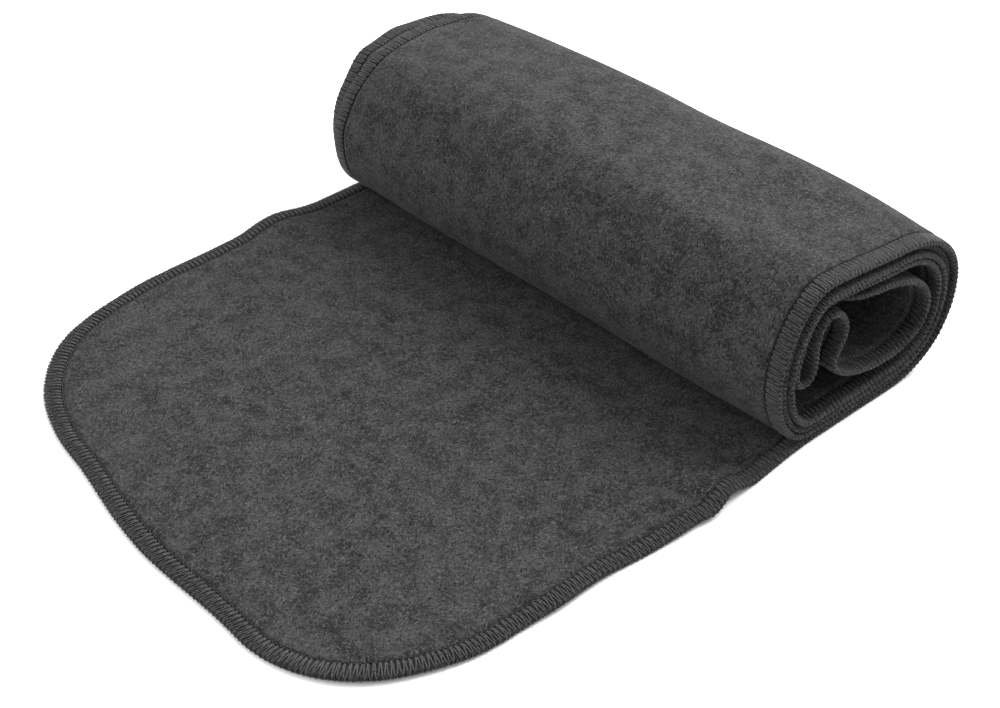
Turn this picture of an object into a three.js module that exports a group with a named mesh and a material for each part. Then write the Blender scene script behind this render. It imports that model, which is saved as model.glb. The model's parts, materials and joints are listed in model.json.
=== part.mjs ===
// Loosely rolled fleece throw blanket: one narrow cloth panel with rounded ends, overlocked all round.
// Millimetres, +Z up. X runs along the roll, -Y is the way the loose flap reaches out over the floor.
// The origin is on the floor under the middle of the whole outline.
import * as THREE from 'three';

// ---- Driving dimensions ----
const PANEL_WIDTH = 250;
const CLOTH_THICKNESS = 2;
const CORNER_RADIUS = 55;
const FAR_CORNER_RADIUS = 85; // the flap's corner at -X, cut rounder than the others
const END_SKEW = THREE.MathUtils.degToRad(5); // how far the flap's end is from square, shorter at -X
const FLAP_LENGTH = 205; // from the crease, where the roll meets the flap, to the panel's outer end
const ROLL_DEPTH = 100; // front bulge to back
const ROLL_HEIGHT = 67;
const TURNS = 3; // whole turns round the core
const FOLD_SHARE = 0.78; // share of a further turn, to where the sheet folds back into the core
const FOLD_PLIES = 11.4; // how far the fold at the front of the core reaches in, in turn pitches
const PLY_GAP = 0.5; // air between two turns pressed together
const PLY_SLACK = 0.5; // more air at the front and the back of the roll, where nothing presses on it
const FLAT_SHARE = 0.16; // share of a turn that lies flat under the roll

// ---- Overlock seam ----
const SEAM_WIDTH = 6.5; // from the needle line to the panel's edge
const EDGE_WRAP = 0.6; // thread that stands outside the cut edge
const THREAD = 0.25; // thickness of the thread layer on each face
const NEEDLE_STITCH_WIDTH = 0.6;
const CLEARANCE = 0.3; // air between two separate pieces

// ---- Flap hinge ----
const HINGE_REACH = 21; // from the crease to the line that the flap lifts about
const HINGE_GAP = 0.4;

// ---- Facets ----
const CHORD_SAG = 0.28; // how far a facet may cut inside the true curve
const CORNER_SAG = 0.05; // the same in a rounded corner, where rows of facets run across each other
const SHORTEST_STEP = 2.5;
const LONGEST_STEP = 30;
const CORNER_STEPS = 10;
const CLOSEST_ANGLE = 0.04; // between two stations of a rounded corner
const POINTS_PER_TURN = 72;

const HALF_PLY = CLOTH_THICKNESS / 2;
const SEAT_DEPTH = THREAD + CLEARANCE; // how deep the overlock presses into each face
const CORE_HALF = HALF_PLY - SEAT_DEPTH;
const SEAT_INSET = SEAM_WIDTH + CLEARANCE;
const MID_SEAM = SEAM_WIDTH / 2; // cloth and thread both have a row here, so that they bend together
const TURN_PITCH = CLOTH_THICKNESS + PLY_GAP;

// ---- Shape of the roll, seen along +X, in the plane of Y and Z with the crease at Y 0 ----

// A point of the roll's outer turn: shares of its depth and height, on the middle of the cloth.
function rollPoint(depthShare, heightShare) {
  const z = HALF_PLY + heightShare * (ROLL_HEIGHT - CLOTH_THICKNESS);
  return new THREE.Vector3(0, depthShare * ROLL_DEPTH, z);
}

// The outer turn as a closed oval: flat underneath, full at the back, leaning forward at the front.
function outerTurn() {
  const front = rollPoint(-0.167, 0.475);
  const crease = rollPoint(0.04, 0);
  const under = rollPoint(0.5, 0);
  const back = rollPoint(0.847, 0.475);
  const shoulder = rollPoint(0.503, 0.951);
  const crown = rollPoint(0.075, 1.017);
  const turn = new THREE.CurvePath();
  turn.add(new THREE.LineCurve3(crease, under));
  turn.add(new THREE.CubicBezierCurve3(under, rollPoint(0.72, 0), rollPoint(0.852, 0.2), back));
  turn.add(new THREE.CubicBezierCurve3(back, rollPoint(0.847, 0.735), rollPoint(0.7, 0.92), shoulder));
  turn.add(new THREE.CubicBezierCurve3(shoulder, rollPoint(0.36, 0.974), rollPoint(0.22, 1.017), crown));
  turn.add(new THREE.CubicBezierCurve3(crown, rollPoint(-0.05, 1.017), rollPoint(-0.167, 0.75), front));
  turn.add(new THREE.CubicBezierCurve3(front, rollPoint(-0.167, 0.23), rollPoint(-0.08, 0), crease));
  return turn;
}

// The way into the roll, square to the sheet.
function inward(tangent) {
  return new THREE.Vector3(0, -tangent.z, tangent.y).normalize();
}

// Each turn lies inside the one before it: flat underneath, then working its way in by one ply.
// The plies press together underneath and on top, and have more air at the front and the back.
function turnPoint(oval, turns) {
  const share = turns % 1;
  const slack = PLY_SLACK * (1 - Math.cos(4 * Math.PI * (share - 0.05))) / 2;
  const rise = Math.max(0, share - FLAT_SHARE) / (1 - FLAT_SHARE);
  const climb = rise * rise * (2 - rise);
  const depth = (Math.floor(turns) + climb) * (TURN_PITCH + slack);
  return oval.getPointAt(share).addScaledVector(inward(oval.getTangentAt(share)), depth);
}

// The core: the sheet doubles back on itself at the front, then makes one loose turn inside the rest.
// Its points are shares of the space left inside the last turn. At the front, where the plies lie against
// each other, they are spaced by the thickness of the cloth instead.
function corePoints(oval) {
  const low = turnPoint(oval, TURNS + 0.1).z;
  const high = turnPoint(oval, TURNS + 0.6).z;
  const near = turnPoint(oval, TURNS - 0.16).y;
  const far = turnPoint(oval, TURNS + 0.3).y;
  const foldEnd = 0.35;
  const foldDepth = FOLD_PLIES * TURN_PITCH;
  const acrossCore = (share) => (share < foldEnd
    ? foldDepth * share / foldEnd
    : foldDepth + (far - near - foldDepth) * (share - foldEnd) / (1 - foldEnd));
  const shares = [
    [0.057, 0.68], [0.041, 0.585], [0.036, 0.49], [0.052, 0.413], [0.088, 0.381], [0.125, 0.394],
    [0.149, 0.459], [0.152, 0.575], [0.149, 0.68], [0.161, 0.785], [0.194, 0.86], [0.242, 0.888],
    [0.292, 0.865], [0.334, 0.795], [0.354, 0.7], [0.346, 0.608], [0.314, 0.524], [0.29, 0.449],
    [0.301, 0.36], [0.35, 0.287], [0.432, 0.224], [0.524, 0.186], [0.628, 0.169], [0.733, 0.18],
    [0.831, 0.224], [0.905, 0.306], [0.938, 0.417], [0.935, 0.533], [0.898, 0.644], [0.825, 0.743],
    [0.714, 0.823], [0.592, 0.873], [0.481, 0.89], [0.395, 0.907], [0.316, 0.948], [0.249, 0.953],
    [0.196, 0.927], [0.153, 0.87], [0.122, 0.798], [0.106, 0.711], [0.099, 0.617], [0.095, 0.53],
  ];
  return shares.map(([y, z]) => new THREE.Vector3(0, near + acrossCore(y), low + z * (high - low)));
}

// The middle of the cloth from the hinge line, under the roll, round its turns and into the core.
function rollPath() {
  const oval = outerTurn();
  const points = [new THREE.Vector3(0, HINGE_GAP / 2 - HINGE_REACH, HALF_PLY)];
  points.push(new THREE.Vector3(0, -HINGE_REACH / 2, HALF_PLY));
  for (let i = 0; i <= (TURNS + FOLD_SHARE) * POINTS_PER_TURN; i += 1) {
    points.push(turnPoint(oval, i / POINTS_PER_TURN));
  }
  points.push(...corePoints(oval));
  const path = new THREE.CatmullRomCurve3(points, false, 'centripetal');
  path.arcLengthDivisions = 6000;
  return path;
}

// ---- Flat pattern of the cloth: s runs from the hinge line to an end, x across the panel ----

// Lengths at which facets meet: close together where the sheet bends tightly, far apart where it is flat.
function facetStops(path, length) {
  const probe = 1.5;
  const total = path.getLength();
  const bendAt = (s) => {
    const before = path.getTangentAt(Math.max(0, s - probe) / total);
    const after = path.getTangentAt(Math.min(total, s + probe) / total);
    return before.angleTo(after) / (2 * probe);
  };
  const sagAt = (s) => (s > length - CORNER_RADIUS - LONGEST_STEP ? CORNER_SAG : CHORD_SAG);
  const stepFor = (s) => Math.sqrt(8 * sagAt(s) / Math.max(bendAt(s), 1e-6));
  const stops = [0];
  for (let s = 0; s < length;) {
    const guess = Math.min(stepFor(s), LONGEST_STEP);
    const ahead = Math.min(...[0.33, 0.66, 1].map((share) => stepFor(Math.min(total, s + share * guess))));
    s += Math.max(SHORTEST_STEP, Math.min(guess, ahead));
    stops.push(s);
  }
  const stretch = length / stops[stops.length - 1];
  return stops.map((s) => s * stretch);
}

// The two corners of one end of the panel: where each starts, its radius and how far round it goes.
function endCorners(length, farRadius, skew) {
  const lean = Math.sin(skew) * (PANEL_WIDTH - CORNER_RADIUS - farRadius);
  const start = length - CORNER_RADIUS;
  const farStart = start + (CORNER_RADIUS - farRadius - lean) / Math.cos(skew);
  return {
    near: { side: 1, start, radius: CORNER_RADIUS, sweep: Math.PI / 2 + skew },
    far: { side: -1, start: farStart, radius: farRadius, sweep: Math.PI / 2 - skew },
  };
}

// One side of the panel's outline, then its rounded corner: each station has a place and a way inward.
// The corner has stations at even angles, and also wherever the rolled sheet needs a facet.
function sideOutline({ side, start, radius, sweep }, stops) {
  const half = PANEL_WIDTH / 2;
  const evenAngles = Array.from({ length: CORNER_STEPS }, (_, i) => sweep * (i + 1) / CORNER_STEPS);
  const facetAngles = stops.filter((s) => s > start && s < start + radius)
    .map((s) => Math.asin((s - start) / radius));
  const clearOfEven = (angle) => evenAngles.every((even) => Math.abs(even - angle) > CLOSEST_ANGLE);
  const angles = [...evenAngles, ...facetAngles.filter(clearOfEven)].sort((a, b) => a - b);
  const station = (s, x, angle) => ({
    s, x: side * x, insetS: -Math.sin(angle), insetX: -side * Math.cos(angle),
  });
  const straight = [...stops.filter((s) => s < start - SHORTEST_STEP), start].map((s) => station(s, half, 0));
  const round = angles.map((angle) => station(
    start + radius * Math.sin(angle), half - radius + radius * Math.cos(angle), angle,
  ));
  return [...straight, ...round];
}

// Both sides of the panel from the hinge line to one end.
function outline(corners, stops) {
  return { near: sideOutline(corners.near, stops), far: sideOutline(corners.far, stops) };
}

// ---- Solids ----

class Surface {
  constructor() {
    this.points = [];
    this.triangles = [];
  }

  point(position) {
    this.points.push(position);
    return this.points.length - 1;
  }

  quad(a, b, c, d) {
    this.triangles.push([a, b, c], [a, c, d]);
  }

  // Joins two rows of points with a strip of quads.
  strip(rowA, rowB) {
    for (let i = 0; i + 1 < rowA.length; i += 1) {
      this.quad(rowA[i], rowA[i + 1], rowB[i + 1], rowB[i]);
    }
  }

  // Closes a ring of points whose flat shape is given, either way round.
  cap(ring, flatShape, flip) {
    THREE.ShapeUtils.triangulateShape(flatShape, []).forEach(([a, b, c]) => {
      this.triangles.push(flip ? [ring[c], ring[b], ring[a]] : [ring[a], ring[b], ring[c]]);
    });
  }

  signedVolume() {
    return this.triangles.reduce((sum, [a, b, c]) => {
      const [p, q, r] = [this.points[a], this.points[b], this.points[c]];
      return sum + p.dot(q.clone().cross(r)) / 6;
    }, 0);
  }

  geometry() {
    const inside = this.signedVolume() < 0;
    const order = inside ? this.triangles.map(([a, b, c]) => [c, b, a]) : this.triangles;
    const geometry = new THREE.BufferGeometry();
    const places = this.points.flatMap((p) => [p.x, p.y, p.z]);
    geometry.setAttribute('position', new THREE.Float32BufferAttribute(places, 3));
    geometry.setIndex(order.flat());
    geometry.computeVertexNormals();
    return geometry;
  }
}

// A station's point, moved in from the edge and off the middle of the cloth.
function stationPoint(station, inset, height, place) {
  return place(station.s + inset * station.insetS, station.x + inset * station.insetX, height);
}

// The cloth: full thickness inside the seam, pressed thin under the thread, from the hinge line to one end.
function clothSolid({ near, far }, place) {
  const profile = [
    [SEAT_INSET, HALF_PLY], [SEAT_INSET, CORE_HALF], [MID_SEAM, CORE_HALF], [EDGE_WRAP, CORE_HALF],
    [EDGE_WRAP, -CORE_HALF], [MID_SEAM, -CORE_HALF], [SEAT_INSET, -CORE_HALF], [SEAT_INSET, -HALF_PLY],
  ];
  const surface = new Surface();
  const row = (stations, [inset, height]) => stations.map(
    (station) => surface.point(stationPoint(station, inset, height, place)),
  );
  const left = profile.map((corner) => row(near, corner));
  const right = profile.map((corner) => row(far, corner));
  const around = left.map((side, j) => [...side, ...[...right[j]].reverse()]);
  for (let j = 0; j + 1 < profile.length; j += 1) {
    surface.strip(around[j], around[j + 1]);
  }
  const last = profile.length - 1;
  surface.strip(right[0], left[0]);
  surface.strip(left[last], right[last]);
  const ring = [...left.map((side) => side[0]), ...right.map((side) => side[0]).reverse()];
  const half = PANEL_WIDTH / 2;
  const cutEnd = [
    ...profile.map(([inset, height]) => new THREE.Vector2(half - inset, height)),
    ...[...profile].reverse().map(([inset, height]) => new THREE.Vector2(inset - half, height)),
  ];
  surface.cap(ring, cutEnd, true);
  return surface.geometry();
}

// One thread of the seam: a flat band with the given section, all the way round one end of the panel.
function threadSolid({ near, far }, place, section) {
  const surface = new Surface();
  const around = [...near, ...[...far].reverse()];
  const rows = section.map(([inset, height]) => around.map(
    (station) => surface.point(stationPoint(station, inset, height, place)),
  ));
  rows.forEach((row, j) => surface.strip(row, rows[(j + 1) % rows.length]));
  const cutEnd = section.map(([inset, height]) => new THREE.Vector2(inset, height));
  surface.cap(rows.map((row) => row[0]), cutEnd, true);
  surface.cap(rows.map((row) => row[row.length - 1]), cutEnd, false);
  return surface.geometry();
}

// The three threads of the overlock: a line of needle stitches and a band of looper thread on each face.
const FACE = HALF_PLY;
const UNDER = HALF_PLY - THREAD;
const NEEDLE_IN = SEAM_WIDTH;
const NEEDLE_OUT = SEAM_WIDTH - NEEDLE_STITCH_WIDTH;
const THREAD_SECTIONS = {
  needle_thread: [[NEEDLE_IN, UNDER], [NEEDLE_OUT, UNDER], [(NEEDLE_IN + NEEDLE_OUT) / 2, FACE]],
  upper_looper_thread: [
    [NEEDLE_OUT - CLEARANCE, UNDER], [MID_SEAM, UNDER], [0, UNDER],
    [0, FACE], [MID_SEAM, FACE], [NEEDLE_OUT - CLEARANCE, FACE],
  ],
  lower_looper_thread: [
    [SEAM_WIDTH, -FACE], [MID_SEAM, -FACE], [0, -FACE], [0, -UNDER], [MID_SEAM, -UNDER], [SEAM_WIDTH, -UNDER],
  ],
};

// ---- Assembly ----

const fleece = new THREE.MeshStandardMaterial({ color: 0x4a4b4d, roughness: 0.95, metalness: 0 });
const thread = new THREE.MeshStandardMaterial({ color: 0x3a3b3d, roughness: 0.6, metalness: 0 });

const path = rollPath();
const rolledLength = path.getLength();

function onRoll(s, x, height) {
  const share = s / rolledLength;
  const point = path.getPointAt(share).addScaledVector(inward(path.getTangentAt(share)), height);
  return new THREE.Vector3(x, point.y, point.z);
}

function onFlap(s, x, height) {
  return new THREE.Vector3(x, -HINGE_REACH - HINGE_GAP / 2 - s, HALF_PLY + height);
}

const flapReach = FLAP_LENGTH - HINGE_REACH - HINGE_GAP / 2;
const innerCorners = endCorners(rolledLength, CORNER_RADIUS, 0);
const flapCorners = endCorners(flapReach, FAR_CORNER_RADIUS, END_SKEW);
const rollOutline = outline(innerCorners, facetStops(path, rolledLength));
const flapOutline = outline(flapCorners, [0, flapReach]);

const blanket = new THREE.Group();

function addPiece(name, geometry, material) {
  const mesh = new THREE.Mesh(geometry, material.clone());
  mesh.name = name;
  blanket.add(mesh);
  return mesh;
}

addPiece('roll_cloth', clothSolid(rollOutline, onRoll), fleece);
addPiece('flap_cloth', clothSolid(flapOutline, onFlap), fleece);
Object.entries(THREAD_SECTIONS).forEach(([name, section]) => {
  addPiece(`roll_${name}`, threadSolid(rollOutline, onRoll, section), thread);
  addPiece(`flap_${name}`, threadSolid(flapOutline, onFlap, section), thread);
});

// The crease is at Y 0 so far: the whole blanket moves so that the origin is under its middle.
blanket.position.y = -new THREE.Box3().setFromObject(blanket).getCenter(new THREE.Vector3()).y;

export default blanket;
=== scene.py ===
import bisect
import json
import math
import random

import bmesh
import bpy
from mathutils import Matrix, Vector, noise


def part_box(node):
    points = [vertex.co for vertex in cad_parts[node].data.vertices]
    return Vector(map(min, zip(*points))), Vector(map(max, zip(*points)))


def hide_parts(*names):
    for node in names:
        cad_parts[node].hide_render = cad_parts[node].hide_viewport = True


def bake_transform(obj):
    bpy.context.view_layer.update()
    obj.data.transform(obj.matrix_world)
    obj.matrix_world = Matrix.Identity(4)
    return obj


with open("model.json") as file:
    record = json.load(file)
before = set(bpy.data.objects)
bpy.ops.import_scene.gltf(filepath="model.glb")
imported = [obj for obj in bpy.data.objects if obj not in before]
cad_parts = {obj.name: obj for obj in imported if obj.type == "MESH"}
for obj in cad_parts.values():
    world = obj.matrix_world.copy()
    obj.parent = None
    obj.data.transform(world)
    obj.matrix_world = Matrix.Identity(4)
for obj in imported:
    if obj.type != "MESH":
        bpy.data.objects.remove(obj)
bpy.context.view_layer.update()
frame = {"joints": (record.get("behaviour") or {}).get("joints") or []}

# ---- Sizes, in millimetres -------------------------------------------------
# The frame gives the panel's width and the line that the flap lifts about. The roll's own sizes are those
# of the CAD roll. Y is counted from the crease, where the roll meets the flap, until lay() places it. Side
# names: near is +X, where the roll's end is seen, and far is -X.

MM = 0.001
HALF_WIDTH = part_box("flap_lower_looper_thread")[1].x / MM
HINGE = Vector(frame["joints"][0]["pos_m"])
HINGE_REACH = 21.0  # from the crease to the line that the flap lifts about
CREASE_Y = HINGE.y / MM + HINGE_REACH
FLAP_LENGTH = 205.0

ROLL_DEPTH = 100.0
ROLL_HEIGHT = 67.0
CAD_PLY = 2.0
NAP = 0.1  # fibres that stand off each face of the cloth
TURN_PITCH = 2.5
PLY_SLACK = 0.5
FLAT_SHARE = 0.16  # share of a turn that lies flat under the roll
TURNS = 3  # whole turns round the core
FOLD_SHARE = 0.78  # share of a further turn, to where the sheet folds back into the core
FOLD_PLIES = 11.4  # how far the fold at the front of the core reaches in, in turn pitches
POINTS_PER_TURN = 72
FLAT_POINTS = 40  # points of the outermost turn where it lies flat, and on each of its arcs
ARC_POINTS = 80
FLAP_STEP = 20.5  # from point to point on the flap
STEPS_BETWEEN = 6  # points that the smooth line gets between two of these

CORNER_RADIUS = 55.0
FAR_CORNER_RADIUS = 85.0  # the flap's corner at -X, cut rounder than the others
END_SKEW = 5.0  # degrees that the flap's end is from square, shorter at -X

STITCH = 2.1  # stitch length of the overlock


def smooth(x):
    """0 up to 0, 1 from 1 on, eased between."""
    x = min(max(x, 0.0), 1.0)
    return x * x * (3 - 2 * x)


def bump(x, middle, reach):
    """1 at the middle, falling smoothly to 0 at the reach on either side."""
    return smooth(1 - abs(x - middle) / reach)


def read_off(pairs, x):
    """The value at x from (x, value) pairs, eased from each to the next."""
    if x <= pairs[0][0]:
        return pairs[0][1]
    for (a, value_a), (b, value_b) in zip(pairs, pairs[1:]):
        if x <= b:
            return value_a + (value_b - value_a) * smooth((x - a) / (b - a))
    return pairs[-1][1]


# ---- The line that the rolled cloth follows, seen from its end -----------------


def roll_point(depth_share, height_share):
    """A place in the roll's end, from its depth behind the crease and its height off the floor."""
    return Vector((depth_share * ROLL_DEPTH, 1 + height_share * (ROLL_HEIGHT - 2)))


def bezier(a, b, c, d, t):
    u = 1 - t
    return a * u**3 + b * (3 * u * u * t) + c * (3 * u * t * t) + d * t**3


class Line:
    """A smooth line through close points, which gives the point and the direction at any length."""

    def __init__(self, points):
        self.points = points
        self.lengths = [0.0]
        for a, b in zip(points, points[1:]):
            self.lengths.append(self.lengths[-1] + (b - a).length)
        self.total = self.lengths[-1]

    def point(self, s):
        s = min(max(s, 0.0), self.total)
        i = min(max(bisect.bisect_right(self.lengths, s) - 1, 0), len(self.points) - 2)
        span = self.lengths[i + 1] - self.lengths[i]
        return self.points[i].lerp(self.points[i + 1], (s - self.lengths[i]) / max(span, 1e-9))

    def tangent(self, s, reach=0.8):
        ahead, behind = self.point(s + reach), self.point(s - reach)
        return (ahead - behind).normalized()


def outer_turn():
    """The outermost turn as a closed oval: flat underneath, full at the back, leaning forward in front."""
    front, crease = roll_point(-0.167, 0.475), roll_point(0.04, 0)
    under, back = roll_point(0.5, 0), roll_point(0.847, 0.475)
    shoulder, crown = roll_point(0.503, 0.951), roll_point(0.075, 1.017)
    arcs = [
        (under, roll_point(0.72, 0), roll_point(0.852, 0.2), back),
        (back, roll_point(0.847, 0.735), roll_point(0.7, 0.92), shoulder),
        (shoulder, roll_point(0.36, 0.974), roll_point(0.22, 1.017), crown),
        (crown, roll_point(-0.05, 1.017), roll_point(-0.167, 0.75), front),
        (front, roll_point(-0.167, 0.23), roll_point(-0.08, 0), crease),
    ]
    points = [crease.lerp(under, i / FLAT_POINTS) for i in range(FLAT_POINTS)]
    for arc in arcs:
        points += [bezier(*arc, i / ARC_POINTS) for i in range(ARC_POINTS)]
    return Line(points + [crease])


def inward(tangent):
    """The way into the roll, square to the cloth."""
    return Vector((-tangent.y, tangent.x))


def turn_point(oval, turns):
    """Each turn lies inside the one before it, tight underneath and on top, slacker in front and behind."""
    share = turns % 1
    slack = PLY_SLACK * (1 - math.cos(4 * math.pi * (share - 0.05))) / 2
    rise = max(0.0, share - FLAT_SHARE) / (1 - FLAT_SHARE)
    depth = (math.floor(turns) + rise * rise * (2 - rise)) * (TURN_PITCH + slack)
    s = share * oval.total
    return oval.point(s) + inward(oval.tangent(s)) * depth


# The sheet's course in the core: (depth, height), as shares of the space that the turns leave there.
CORE_SHARES = [
    (0.057, 0.68), (0.041, 0.585), (0.036, 0.49), (0.052, 0.413), (0.088, 0.381), (0.125, 0.394),
    (0.149, 0.459), (0.152, 0.575), (0.149, 0.68), (0.161, 0.785), (0.194, 0.86), (0.242, 0.888),
    (0.292, 0.865), (0.334, 0.795), (0.354, 0.7), (0.346, 0.608), (0.314, 0.524), (0.29, 0.449),
    (0.301, 0.36), (0.35, 0.287), (0.432, 0.224), (0.524, 0.186), (0.628, 0.169), (0.733, 0.18),
    (0.831, 0.224), (0.905, 0.306), (0.938, 0.417), (0.935, 0.533), (0.898, 0.644), (0.825, 0.743),
    (0.714, 0.823), (0.592, 0.873), (0.481, 0.89), (0.395, 0.907), (0.316, 0.948), (0.249, 0.953),
    (0.196, 0.927), (0.153, 0.87), (0.122, 0.798), (0.106, 0.711), (0.099, 0.617), (0.095, 0.53),
]


def core_points(oval):
    """The core: the sheet doubles back at the front, then makes one loose turn inside the others. The
    folded plies at the front are spaced by the cloth, the rest by the space."""
    low, high = turn_point(oval, TURNS + 0.1).y, turn_point(oval, TURNS + 0.6).y
    near, far = turn_point(oval, TURNS - 0.16).x, turn_point(oval, TURNS + 0.3).x
    fold_end, fold_depth = 0.35, FOLD_PLIES * TURN_PITCH

    def across(share):
        if share < fold_end:
            return near + fold_depth * share / fold_end
        rest = (share - fold_end) / (1 - fold_end)
        return near + fold_depth + (far - near - fold_depth) * rest

    return [Vector((across(y), low + z * (high - low))) for y, z in CORE_SHARES]


def smooth_through(points, steps):
    """A centripetal Catmull-Rom line through the points."""
    padded = [points[0] * 2 - points[1], *points, points[-1] * 2 - points[-2]]
    line = []
    for p0, p1, p2, p3 in zip(padded, padded[1:], padded[2:], padded[3:]):
        t1 = math.sqrt((p1 - p0).length)
        t2 = t1 + math.sqrt((p2 - p1).length)
        t3 = t2 + math.sqrt((p3 - p2).length)
        for i in range(steps):
            t = t1 + (t2 - t1) * i / steps
            a1 = p0.lerp(p1, t / t1)
            a2 = p1.lerp(p2, (t - t1) / (t2 - t1))
            a3 = p2.lerp(p3, (t - t2) / (t3 - t2))
            b1 = a1.lerp(a2, t / t2)
            b2 = a2.lerp(a3, (t - t1) / (t3 - t1))
            line.append(b1.lerp(b2, (t - t1) / (t2 - t1)))
    return line + [points[-1]]


def cloth_line():
    """The middle of the cloth from the flap's free end, under the roll and round into the core."""
    oval = outer_turn()
    points = [Vector((-FLAP_LENGTH + FLAP_STEP * i, 1)) for i in range(int(FLAP_LENGTH / FLAP_STEP))]
    steps = int((TURNS + FOLD_SHARE) * POINTS_PER_TURN)
    points += [turn_point(oval, i / POINTS_PER_TURN) for i in range(steps + 1)]
    points += core_points(oval)
    return Line(smooth_through(points, STEPS_BETWEEN))


LINE = cloth_line()
PANEL_LENGTH = LINE.total


# ---- How the panel lies: rolled, with the small unevenness of a thing rolled by hand ------

OUTER_TURN = 262.0  # length of the outermost turn
FLOOR_LINE = CAD_PLY / 2 + NAP  # height of the cloth's middle where it lies on the floor

# How far in the far side lies, in millimetres, at so many turns from the crease. The outermost turn is set
# back most at its front, and the next one stands out beyond it on top, so both hems show.
FAR_EDGE = [
    (-0.6, 0), (-0.45, 3.6), (0.4, 3.2), (0.56, 4.6), (0.62, 5.0), (0.7, 8.6), (0.76, 10.0), (0.84, 8.2),
    (0.92, 6.2), (1.0, 4.2), (1.15, 2.0), (1.4, -2.0), (1.5, -4.0), (1.6, -5.8), (1.66, -4.8), (1.74, -2.0),
    (1.82, 0.6), (1.9, 1.8), (2.2, 1.0), (2.6, 0),
]

# How far out the near side stands, in the same way.
NEAR_EDGE = [
    (0.9, 0), (1.2, -0.4), (1.5, -2.2), (1.72, -2.4), (1.92, -0.8), (2.1, 0.5), (2.45, -0.6), (2.7, 1.0),
    (3.0, 0.2), (3.4, -0.8), (3.9, 0),
]


def soft_noise(a, b, c, size, seed):
    """Smooth noise with swells about as far apart as size, in millimetres."""
    return noise.noise(Vector((a / size + seed, b / size, c / size)))


def drift(s, x):
    """How far the cloth lies out of square, across the panel: the flap's near side bulges, its far side
    is drawn in and has one small kink, and in the roll no turn lies quite level with the next."""
    y = s - FLAP_LENGTH
    side = smooth(abs(x) / HALF_WIDTH)
    rolled = smooth((s - FLAP_LENGTH) / 80)
    if x > 0:
        out = 4.2 * bump(y, -54, 62) + 1.2 * bump(y, -50, 9) + 1.3 * bump(y, -118, 22)
        out += read_off(NEAR_EDGE, y / OUTER_TURN) - 2.3 * bump(y, -172, 33)
        return side * (out + 0.9 * soft_noise(s, 0, 0, size=60, seed=3.1) * rolled)
    pulled = read_off(FAR_EDGE, y / OUTER_TURN) + 2.9 * bump(y, -150, 58) - 3.0 * bump(y, -47, 24)
    return side * (pulled + 0.9 * soft_noise(s, 0, 0, size=60, seed=7.7) * rolled)


def ripple(s, x):
    """How far the flap stands off the floor, in millimetres: low soft ripples, higher along its sides, and
    on each side one ridge near the roll."""
    y = s - FLAP_LENGTH
    flat = smooth((FLAP_LENGTH - 14 - s) / 30)
    edge = smooth((abs(x) / HALF_WIDTH - 0.72) / 0.28)
    lift = flat * (0.9 + 1.6 * edge) * max(0.0, soft_noise(s, x, 0, size=46, seed=1.3) + 0.12)
    lift += flat * 3.4 * smooth((x - 92) / 30) * bump(y, -39, 15)
    return lift + flat * 1.3 * smooth((-x - 90) / 30) * bump(y, -46, 20)


def settle(x, y, z):
    """The roll's own unevenness, in millimetres: soft swells, a shoulder that has sunk at the far side,
    and a middle that is fuller than the ends, most of all at the back and on top."""
    up = smooth(z / 14)
    y += up * 1.7 * soft_noise(x, y, z, size=62, seed=5.2)
    z += up * 1.5 * soft_noise(x, y, z, size=55, seed=9.4)
    slump = smooth((-x - 40) / 85) * smooth(1 - math.hypot(y + 2, z - 62) / 36)
    y += 2.2 * slump
    z -= 4.2 * slump
    belly = max(0.0, 1 - abs(x / HALF_WIDTH) ** 3)
    y += 2.8 * belly * smooth((y - 10) / 60) * smooth(z / 40)
    z += 3.8 * belly * smooth((z - 8) / 54)
    return y, z


def lay(s, x, height):
    """Where a point of the flat panel ends up, in metres: s from the flap's end, x across, height off its
    middle, on the side that faces into the roll."""
    point, tangent = LINE.point(s), LINE.tangent(s)
    x += drift(s, x)
    y, z = point + inward(tangent) * (height + ripple(s, x))
    bowed_end = 2.2 * bump(-x, 66, 56) - 3.8 * bump(x, 10, 54)
    y, z = settle(x, y + bowed_end * smooth(1 - s / 70), z)
    return Vector((x * MM, (CREASE_Y + y) * MM, (z + FLOOR_LINE - CAD_PLY / 2) * MM))


# ---- Flat pattern ---------------------------------------------------------------


def facing(angle):
    """The way that points at an angle, in degrees."""
    return Vector((math.cos(math.radians(angle)), math.sin(math.radians(angle))))


def corners():
    """The panel's four rounded corners, in order round it: middle, radius, and the ways out of the cloth
    at its start and its end, in degrees, with 0 along the panel and 90 across it."""
    middle = HALF_WIDTH - CORNER_RADIUS
    far_middle = HALF_WIDTH - FAR_CORNER_RADIUS
    skew = math.radians(END_SKEW)
    lean = math.sin(skew) * (middle + far_middle)
    far_start = CORNER_RADIUS + (FAR_CORNER_RADIUS - CORNER_RADIUS + lean) / math.cos(skew)
    inner = PANEL_LENGTH - CORNER_RADIUS
    return [
        (Vector((CORNER_RADIUS, middle)), CORNER_RADIUS, 180 + END_SKEW, 90),
        (Vector((inner, middle)), CORNER_RADIUS, 90, 0),
        (Vector((inner, -middle)), CORNER_RADIUS, 0, -90),
        (Vector((far_start, -far_middle)), FAR_CORNER_RADIUS, -90, END_SKEW - 180),
    ]


def round_corner(corner, share):
    """A place on a corner's edge, and the way into the cloth there."""
    middle, radius, start, stop = corner
    out = facing(start + (stop - start) * share)
    return middle + out * radius, -out


def arc_length(corner):
    return corner[1] * math.radians(abs(corner[3] - corner[2]))


CORNERS = corners()


def edge_runs():
    """Round the panel's edge: each corner and the straight run after it, as its length and its ends."""
    runs = []
    for corner, following in zip(CORNERS, CORNERS[1:] + CORNERS[:1]):
        a, b = round_corner(corner, 1)[0], round_corner(following, 0)[0]
        runs += [(arc_length(corner), corner, None), ((b - a).length, a, b)]
    return runs


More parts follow.
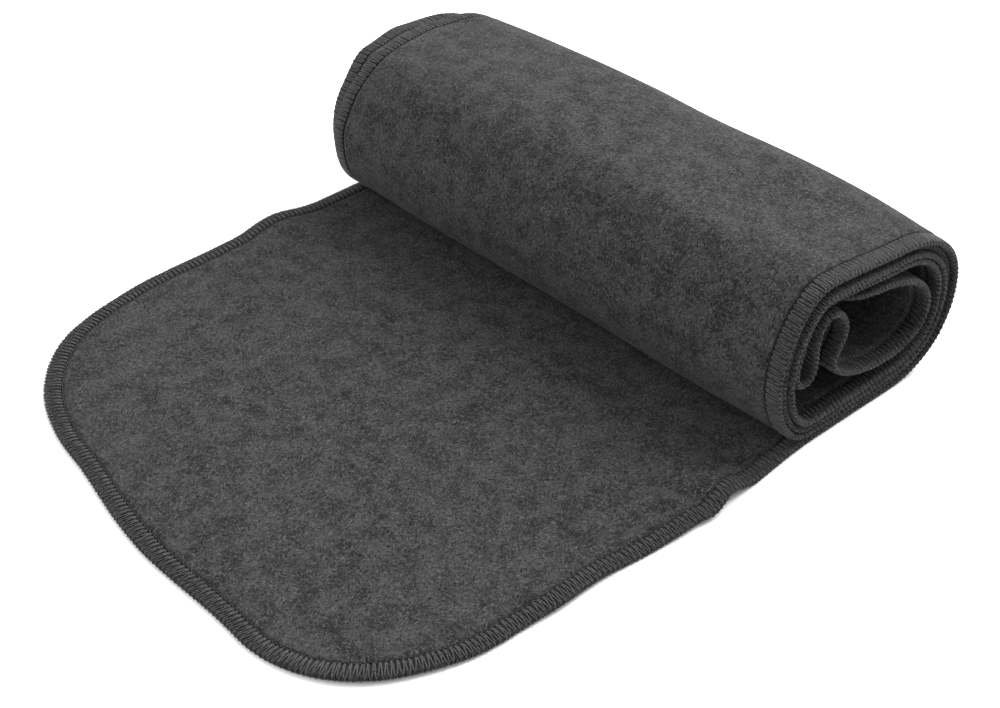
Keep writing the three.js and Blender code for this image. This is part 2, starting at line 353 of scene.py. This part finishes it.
RUNS = edge_runs()
EDGE_LENGTH = sum(run[0] for run in RUNS)


def edge_place(q):
    """The place on the panel's edge q millimetres round it, and the way into the cloth there."""
    q = q % EDGE_LENGTH
    for length, a, b in RUNS:
        if q <= length:
            break
        q -= length
    share = min(q / length, 1)
    if b is None:
        return round_corner(a, share)
    along = (b - a).normalized()
    return a.lerp(b, share), Vector((along.y, -along.x))


def panel_area():
    """The cut panel's area: half the sum of each edge step times its distance from the panel's middle."""
    steps = 2000
    places = [edge_place(EDGE_LENGTH * i / steps)[0] for i in range(steps)]
    return abs(sum(a.cross(b) for a, b in zip(places, places[1:] + places[:1]))) / 2


BAND = 14.0  # the strip along the edge that has its own close rows, at these insets from the edge
BAND_INSETS = [11.5, 9.8, 8.7, 7.9, 7.3, 6.9, 6.5, 6.1, 5.6, 4.6, 3.2, 1.8, 0.8, 0.2]
COLUMNS = 46
CORNER_ROWS = 26
JOINING_ROWS = 34  # from the flap's corners to where the rows of the two sides are level
SQUARE_FROM = 150.0
LONGEST_ROW = 3.0
SHORTEST_ROW = 1.2
ROW_TURN = 0.3  # how far the cloth may turn within a row, in radians
BEND_ROW = 1.5  # the rows where the flap bends up, so far in front of the crease
BEND_ROWS_FROM = 40.0
BEND_ROWS_TO = 12.0


def level_rows(start, end):
    """Where rows cross the rolled panel, closer together where the cloth bends."""
    stops = [start]
    while stops[-1] < end:
        s = stops[-1]
        longest = BEND_ROW if BEND_ROWS_TO < FLAP_LENGTH - s < BEND_ROWS_FROM else LONGEST_ROW
        bend = max(LINE.tangent(s + k, 1.5).angle(LINE.tangent(s + k + 1, 1.5)) for k in (-1, 0, 1))
        stops.append(s + min(longest, max(SHORTEST_ROW, ROW_TURN / max(bend, 1e-6))))
    stretch = (end - start) / (stops[-1] - start)
    return [start + (s - start) * stretch for s in stops]


def side_stations(sign):
    """The rows' places on one side of the panel, from the flap's end to the inner end."""
    forward = sign > 0
    first, last = (CORNERS[0], CORNERS[1]) if forward else (CORNERS[3], CORNERS[2])
    turn = [i / CORNER_ROWS for i in range(CORNER_ROWS + 1)]
    opening = [round_corner(first, k if forward else 1 - k) for k in turn]
    closing = [round_corner(last, k if forward else 1 - k) for k in turn]
    inward_side = Vector((0, -sign))
    corner_end = opening[-1][0].x
    joining = [corner_end + (SQUARE_FROM - corner_end) * i / JOINING_ROWS for i in range(1, JOINING_ROWS)]
    straight = joining + level_rows(SQUARE_FROM, closing[0][0].x)[:-1]
    return opening + [(Vector((s, sign * HALF_WIDTH)), inward_side) for s in straight] + closing


# The cloth's thickness with its nap, by inset from the edge: pressed under the seam, drawn in along the
# needle line, puffed beside it.
THICKNESS = [
    (0, 1.2), (0.8, 1.7), (5.2, 1.7), (6.1, 1.2), (6.5, 0.8), (6.9, 1.5), (8.2, 2.6), (11, 2.3), (14, 2.2),
]


def pressed_nap_shade_at(inset):
    """Painted shade along the seam, where the nap is also pressed: full in the needle line's groove, about
    half where only the loops lie on it.
    """
    return 0.95 * smooth((7.3 - inset) / 0.6) * (1 - 0.5 * smooth((5.9 - inset) / 0.5))


# ---- Materials --------------------------------------------------------------------

# The patterns' real sizes, in millimetres. A fibre is about 0.02 mm thick, too fine to show, so a hair is
# drawn as wide as a small lock of fibres, and the thread's twist is drawn coarser than its 0.2 mm.
FIBRE_CURL = 7.0  # length over which the fibres sway to one side and back
FIBRE_SWAY = 2.2
PALE_HAIR = (2.6, 0.5)  # length, width
DARK_HAIR = (1.9, 0.55)
TUFT = 9.0  # patches where one shade of fibre lies thicker
CLOUD = 45.0  # wide and faint patches, left by the carding
FELT_RELIEF = 0.5
THREAD_TWIST = 0.7
TWIST_RELIEF = 0.15


def colour(hex_value):
    """An sRGB hex value as a linear colour."""
    channels = [int(hex_value[i : i + 2], 16) / 255 for i in (0, 2, 4)]
    linear = [c / 12.92 if c <= 0.04045 else ((c + 0.055) / 1.055) ** 2.4 for c in channels]
    return (*linear, 1)


def add(material, kind, settings=None, **links):
    """Adds a node. settings are its properties and plain inputs, links the sockets that feed its inputs."""
    tree = material.node_tree
    node = tree.nodes.new(kind)
    for name, value in (settings or {}).items():
        if hasattr(node, name):
            setattr(node, name, value)
        else:
            node.inputs[int(name) if name.isdigit() else name].default_value = value
    for name, socket in links.items():
        key = name.replace("_", " ").strip()
        tree.links.new(socket, node.inputs[int(key) if key.isdigit() else key])
    return node


def new_material(name):
    """A material with no nodes yet."""
    material = bpy.data.materials.new(name)
    material.use_nodes = True
    material.node_tree.nodes.clear()
    return material


def melange_fleece():
    """Anti-pill polyester fleece, brushed and felted: dark and light grey fibres carded together, so the
    eye sees short pale and dark hairs over a soft mottle, matt, with a faint bloom where it is seen
    edge on. Along the overlock the nap is pressed flat, and the colour is darkened there as painted shade of
    the seam's groove and loops."""
    m = new_material("melange_fleece")
    flat = add(m, "ShaderNodeUVMap", {"uv_map": "cloth"}).outputs["UV"]
    sway = add(m, "ShaderNodeTexNoise", {"Scale": 1 / (FIBRE_CURL * MM), "Detail": 1.0}, Vector=flat)
    centred = add(m, "ShaderNodeVectorMath", {
        "operation": "SUBTRACT", "1": (0.5, 0.5, 0.5),
    }, _0=sway.outputs["Color"])
    shift = add(m, "ShaderNodeVectorMath", {
        "operation": "SCALE", "Scale": FIBRE_SWAY * MM,
    }, _0=centred.outputs[0])
    curled = add(m, "ShaderNodeVectorMath", {"operation": "ADD"}, _0=flat, _1=shift.outputs[0]).outputs[0]

    def hairs(angle, length, width, shift):
        """Hairs in one direction: noise drawn out along it."""
        turned = add(m, "ShaderNodeMapping", {
            "Rotation": (0, 0, math.radians(angle)), "Location": (shift, shift / 3, 0),
        }, Vector=curled)
        drawn = add(m, "ShaderNodeMapping", {
            "Scale": (1 / (length * MM), 1 / (width * MM), 1),
        }, Vector=turned.outputs[0])
        field = add(m, "ShaderNodeTexNoise", {"Scale": 1.0, "Detail": 1.0}, Vector=drawn.outputs[0])
        return field.outputs["Fac"]

    def strongest(fields):
        """The highest of the fields at each place."""
        top = fields[0]
        for field in fields[1:]:
            top = add(m, "ShaderNodeMath", {"operation": "MAXIMUM"}, _0=top, _1=field).outputs[0]
        return top

    def between(field, low, high):
        """0 below low, 1 above high, eased between."""
        return add(m, "ShaderNodeMapRange", {
            "interpolation_type": "SMOOTHSTEP", "From Min": low, "From Max": high,
        }, Value=field).outputs["Result"]

    pale = strongest([hairs(angle, *PALE_HAIR, 0.11 * i) for i, angle in enumerate((12, 58, 97, 151))])
    dark = strongest([hairs(angle, *DARK_HAIR, 0.5 + 0.13 * i) for i, angle in enumerate((35, 80, 128))])
    mottle = add(m, "ShaderNodeTexNoise", {
        "Scale": 1 / (TUFT * MM), "Detail": 3.0, "Roughness": 0.62,
    }, Vector=curled).outputs["Fac"]
    cloud = add(m, "ShaderNodeTexNoise", {
        "Scale": 1 / (CLOUD * MM), "Detail": 1.0,
    }, Vector=flat).outputs["Fac"]

    def mix(fac, a, b):
        """From a to b by fac. Each is a socket or a plain value."""
        node = add(m, "ShaderNodeMix", {"data_type": "RGBA"})
        for socket, value in ((node.inputs["Factor"], fac), (node.inputs[6], a), (node.inputs[7], b)):
            if isinstance(value, bpy.types.NodeSocket):
                m.node_tree.links.new(value, socket)
            else:
                socket.default_value = value
        return node.outputs[2]

    ground = mix(between(mottle, 0.36, 0.64), colour("212122"), colour("383839"))
    ground = mix(between(cloud, 0.3, 0.7), ground, mix(0.25, ground, colour("3C3C3E")))
    haired = mix(between(pale, 0.57, 0.76), ground, colour("515152"))
    haired = mix(between(dark, 0.56, 0.74), haired, colour("101011"))
    # Painted shade: the colour goes to near black in the seam's groove and under its loops, where the nap is
    # also pressed flat.
    pressed_nap_shade = add(m, "ShaderNodeAttribute", {"attribute_name": "pressed_nap_shade"}).outputs["Fac"]
    shown = mix(pressed_nap_shade, haired, colour("151516"))
    relief = add(m, "ShaderNodeMath", {"operation": "MULTIPLY_ADD", "1": 0.6}, _0=pale, _2=mottle)
    felt = add(m, "ShaderNodeBump", {
        "Strength": 0.75, "Distance": FELT_RELIEF * MM,
    }, Height=relief.outputs[0])
    shader = add(m, "ShaderNodeBsdfPrincipled", {
        "Roughness": 0.95, "IOR": 1.5, "Specular IOR Level": 0.08,
        "Sheen Weight": 0.06, "Sheen Roughness": 0.45, "Sheen Tint": colour("C8C8CC"),
    }, Base_Color=shown, Normal=felt.outputs["Normal"])
    add(m, "ShaderNodeOutputMaterial", Surface=shader.outputs["BSDF"])
    return m


def overlock_thread():
    """Spun polyester sewing thread, charcoal: matt like the cloth but closer, with a thin line of light
    along each strand, and a little lighter and darker from strand to strand."""
    m = new_material("overlock_thread")
    place = add(m, "ShaderNodeTexCoord").outputs["Object"]
    grain = add(m, "ShaderNodeTexNoise", {
        "Scale": 1 / (THREAD_TWIST * MM), "Detail": 2.0,
    }, Vector=place).outputs["Fac"]
    ramp = add(m, "ShaderNodeValToRGB", {}, Fac=grain)
    ramp.color_ramp.elements[0].position = 0.36
    ramp.color_ramp.elements[0].color = colour("141415")
    ramp.color_ramp.elements[1].position = 0.66
    ramp.color_ramp.elements[1].color = colour("3D3D3F")
    twist = add(m, "ShaderNodeBump", {"Strength": 0.5, "Distance": TWIST_RELIEF * MM}, Height=grain)
    shader = add(m, "ShaderNodeBsdfPrincipled", {
        "Roughness": 0.62, "IOR": 1.5, "Specular IOR Level": 0.3, "Sheen Weight": 0.08,
    }, Base_Color=ramp.outputs["Color"], Normal=twist.outputs["Normal"])
    add(m, "ShaderNodeOutputMaterial", Surface=shader.outputs["BSDF"])
    return m


# ---- Pieces -----------------------------------------------------------------------


def show(name, data):
    """Puts an object into the scene, at the origin."""
    made = bpy.data.objects.new(name, data)
    bpy.context.scene.collection.objects.link(made)
    return made


def smooth_piece(name, mesh, material):
    mesh.polygons.foreach_set("use_smooth", [True] * len(mesh.polygons))
    mesh.materials.clear()
    mesh.materials.append(material)
    return show(name, mesh)


def finish_piece(bm, name, material):
    mesh = bpy.data.meshes.new(name)
    bm.to_mesh(mesh)
    bm.free()
    return smooth_piece(name, mesh, material)


def cloth_panel(material):
    """One sheet: a grid cut to the panel's outline less a strip, the strip added row by row round it out
    to the cut edge, and the whole rolled up, then given its thickness."""
    near, far = side_stations(1), side_stations(-1)
    last = len(near) - 1
    bm = bmesh.new()
    keys = ("along", "across", "way_s", "way_x", "inset")
    along, across, way_s, way_x, inset_of = (bm.verts.layers.float.new(key) for key in keys)
    bmesh.ops.create_grid(bm, x_segments=COLUMNS, y_segments=last, size=0.5)
    for v in bm.verts:
        row, share = round((v.co.y + 0.5) * last), v.co.x + 0.5
        (place_a, way_a), (place_b, way_b) = far[row], near[row]
        place = (place_a + way_a * BAND).lerp(place_b + way_b * BAND, share)
        way = way_a if share < 0.5 else way_b
        v[along], v[across], v[way_s], v[way_x], v[inset_of] = *place, *way, BAND
    inset = BAND
    rim = [e for e in bm.edges if e.is_boundary]
    for next_inset in BAND_INSETS:
        made = bmesh.ops.extrude_edge_only(bm, edges=rim)["geom"]
        for v in (g for g in made if isinstance(g, bmesh.types.BMVert)):
            v[along] -= v[way_s] * (inset - next_inset)
            v[across] -= v[way_x] * (inset - next_inset)
            v[inset_of] = next_inset
        rim = [e for e in made if isinstance(e, bmesh.types.BMEdge) and e.is_boundary]
        inset = next_inset
    uv = bm.loops.layers.uv.new("cloth")
    for face in bm.faces:
        for loop in face.loops:
            loop[uv].uv = (loop.vert[across] * MM, loop.vert[along] * MM)
    # Painted shade of the seam, kept on each point for the colour: darkest in the needle line's groove, where
    # the nap is also pressed.
    pressed_nap_shade = bm.verts.layers.float.new("pressed_nap_shade")
    for v in bm.verts:
        v.co = lay(v[along], v[across], 0)
        v[pressed_nap_shade] = pressed_nap_shade_at(v[inset_of])
    bmesh.ops.recalc_face_normals(bm, faces=bm.faces)
    plies = [read_off(THICKNESS, v[inset_of]) for v in bm.verts]
    piece = finish_piece(bm, "fleece_panel", material)
    group = piece.vertex_groups.new(name="ply")
    for i, ply in enumerate(plies):
        group.add([i], ply / max(plies), "REPLACE")
    solid = piece.modifiers.new("ply", "SOLIDIFY")
    solid.thickness = max(plies) * MM
    solid.offset = 0
    solid.vertex_group = "ply"
    return piece


def sewn_thread(name, shape, thick, material, uneven):
    """A thread that repeats its shape once a stitch: points of (share of a stitch, inset from the edge,
    height off the cloth's middle, fatness). uneven says how much the stitches differ, 0 for not at all."""
    stitches = round(EDGE_LENGTH / STITCH)
    pitch = EDGE_LENGTH / stitches
    chance = random.Random(name)
    curve = bpy.data.curves.new(name, "CURVE")
    curve.dimensions = "3D"
    curve.bevel_depth = thick / 2 * MM
    curve.bevel_resolution = 1
    spline = curve.splines.new("POLY")
    points = []
    for i in range(stitches):
        lean, depth, swell = (1 + uneven * chance.uniform(-1, 1) for _ in range(3))
        for share, inset, height, fat in shape:
            place, way = edge_place((i + share * lean) * pitch)
            flat = place + way * (inset * (0.94 + 0.06 * depth))
            points.append((lay(flat.x, flat.y, height * (0.9 + 0.1 * swell)), fat * (0.85 + 0.15 * depth)))
    spline.points.add(len(points) - 1)
    for point, (co, fat) in zip(spline.points, points):
        point.co = (*co, 1)
        point.radius = fat
    spline.use_cyclic_u = True
    holder = show(name + "_line", curve)
    bpy.context.view_layer.update()
    mesh = bpy.data.meshes.new_from_object(holder.evaluated_get(bpy.context.evaluated_depsgraph_get()))
    bpy.data.objects.remove(holder)
    mesh.name = name
    return smooth_piece(name, mesh, material)


# One stitch of each thread. The upper looper's two legs lie together as one slanting petal at the needle and
# part on the way to the edge. The lower looper's legs are spread evenly, so that they cover the cloth as
# fine ribs. Both turn round the edge, half a stitch apart.
UPPER_STITCH = [
    (-0.50, 0.05, 0.2, 1.8), (-0.30, 0.9, 0.9, 1.1), (-0.12, 2.4, 1.05, 1.05), (0.06, 4.2, 1.1, 1.45),
    (0.18, 5.85, 0.75, 1.5), (0.34, 5.85, 0.75, 1.5), (0.36, 4.2, 1.1, 1.45), (0.34, 2.4, 1.05, 1.05),
    (0.36, 0.9, 0.9, 1.1),
]
LOWER_STITCH = [
    (0.00, 0.05, -0.2, 1.9), (0.22, 0.8, -0.85, 1.5), (0.27, 3.2, -0.88, 1.75), (0.30, 5.5, -0.78, 1.7),
    (0.50, 6.1, -0.55, 1.3), (0.70, 5.5, -0.78, 1.7), (0.73, 3.2, -0.88, 1.75), (0.78, 0.8, -0.85, 1.5),
]
NEEDLE_STITCH = [(0.0, 6.5, 0.2, 0.8), (0.25, 6.55, 0.75, 1), (0.5, 6.6, 0.9, 1), (0.75, 6.55, 0.75, 1)]


fleece = melange_fleece()
thread = overlock_thread()
panel = cloth_panel(fleece)
upper = sewn_thread("upper_looper", UPPER_STITCH, 0.55, thread, 0.4)
lower = sewn_thread("lower_looper", LOWER_STITCH, 0.5, thread, 0.25)
needle = sewn_thread("needle_stitches", NEEDLE_STITCH, 0.34, thread, 0.3)
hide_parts("roll_cloth", "flap_cloth")
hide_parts("roll_upper_looper_thread", "flap_upper_looper_thread")
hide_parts("roll_lower_looper_thread", "flap_lower_looper_thread")
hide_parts("roll_needle_thread", "flap_needle_thread")

# Each piece's placing is baked into its mesh, and the cut panel's area is worked out.
for piece in (panel, upper, lower, needle):
    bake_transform(piece)
cut_area = panel_area() * MM * MM

# ---- Studio -----------------------------------------------------------------------


def studio():
    """A plain pale floor under a white sky, with plain tones."""
    bm = bmesh.new()
    bmesh.ops.create_grid(bm, x_segments=1, y_segments=1, size=4)
    m = new_material("studio_floor")
    shader = add(m, "ShaderNodeBsdfPrincipled", {
        "Base Color": colour("FAFAFA"), "Roughness": 0.95, "Specular IOR Level": 0.1,
    })
    add(m, "ShaderNodeOutputMaterial", Surface=shader.outputs["BSDF"])
    floor = finish_piece(bm, "studio_floor", m)
    world = bpy.data.worlds.new("studio")
    world.use_nodes = True
    world.node_tree.nodes["Background"].inputs["Color"].default_value = (1, 1, 1, 1)
    world.node_tree.nodes["Background"].inputs["Strength"].default_value = 0.92
    bpy.context.scene.world = world
    bpy.context.scene.view_settings.view_transform = "Standard"


def soft_light(name, place, size, power):
    """A square panel of light that faces the origin."""
    data = bpy.data.lights.new(name, "AREA")
    data.size = size
    data.energy = power
    light = show(name, data)
    light.location = place
    light.rotation_euler = (-Vector(place)).to_track_quat("-Z", "Y").to_euler()


def camera():
    """A short telephoto lens, looking down at the near end of the roll and the flap."""
    azimuth, elevation = math.radians(47.17), math.radians(36.1)
    distance, leftwards, downwards = 755.3, 22.2, 20.5  # in millimetres, from the middle of the crease
    back = Vector((
        math.sin(azimuth) * math.cos(elevation), -math.cos(azimuth) * math.cos(elevation), math.sin(elevation),
    ))
    right = Vector((math.cos(azimuth), math.sin(azimuth), 0))
    up = back.cross(right)
    data = bpy.data.cameras.new("camera")
    data.lens = 68.9
    data.sensor_width = 36
    data.clip_start, data.clip_end = 0.05, 20
    eye = show("camera", data)
    turn = Matrix((right, up, back)).transposed().to_4x4()
    place = Vector((0, CREASE_Y, 0)) + back * distance - right * leftwards - up * downwards
    eye.matrix_world = Matrix.Translation(place * MM) @ turn
    bpy.context.scene.camera = eye


studio()
soft_light("back_light", (0.1, 1.3, 1.4), 1.5, 66)
soft_light("front_light", (-0.9, -1.6, 0.75), 2.0, 23)
camera()
